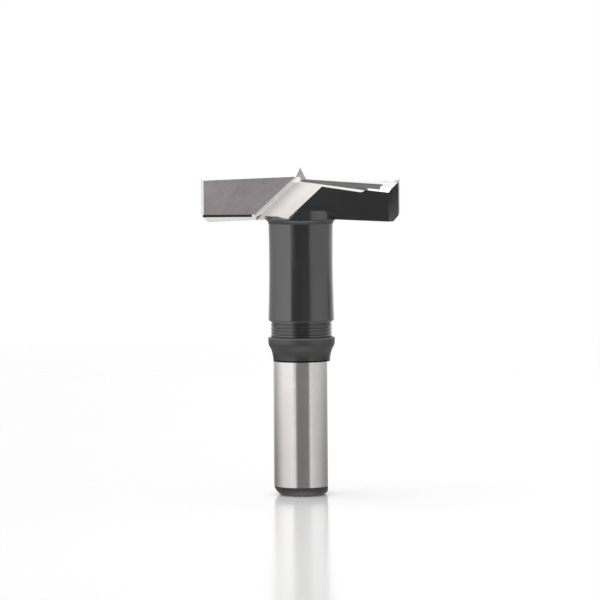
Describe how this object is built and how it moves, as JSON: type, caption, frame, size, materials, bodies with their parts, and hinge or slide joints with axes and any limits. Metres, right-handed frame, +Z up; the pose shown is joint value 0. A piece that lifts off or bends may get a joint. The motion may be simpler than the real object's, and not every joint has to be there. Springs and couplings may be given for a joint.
{
  "type": "hinge boring bit",
  "caption": "Straight-shank hinge boring bit with a winged head, carbide cutter plates, spurs and a short centring point.",
  "frame": {"origin": "centre of the shank's end face", "axes": "+Z runs up the shank's axis to the head, +X points out of the clamping flat, and the two wings lie along X; the rake face of the wing on -X faces -Y"},
  "size_m": [0.0348, 0.0128, 0.0573],
  "materials": {
    "tool_steel": "ground on the shank and gullets, black painted on the neck and wings",
    "carbide": "finely ground"
  },
  "bodies": {
    "root": {"tool_body": "tool_steel", "cutter_plate_left": "carbide", "cutter_plate_right": "carbide"}
  },
  "joints": []
}
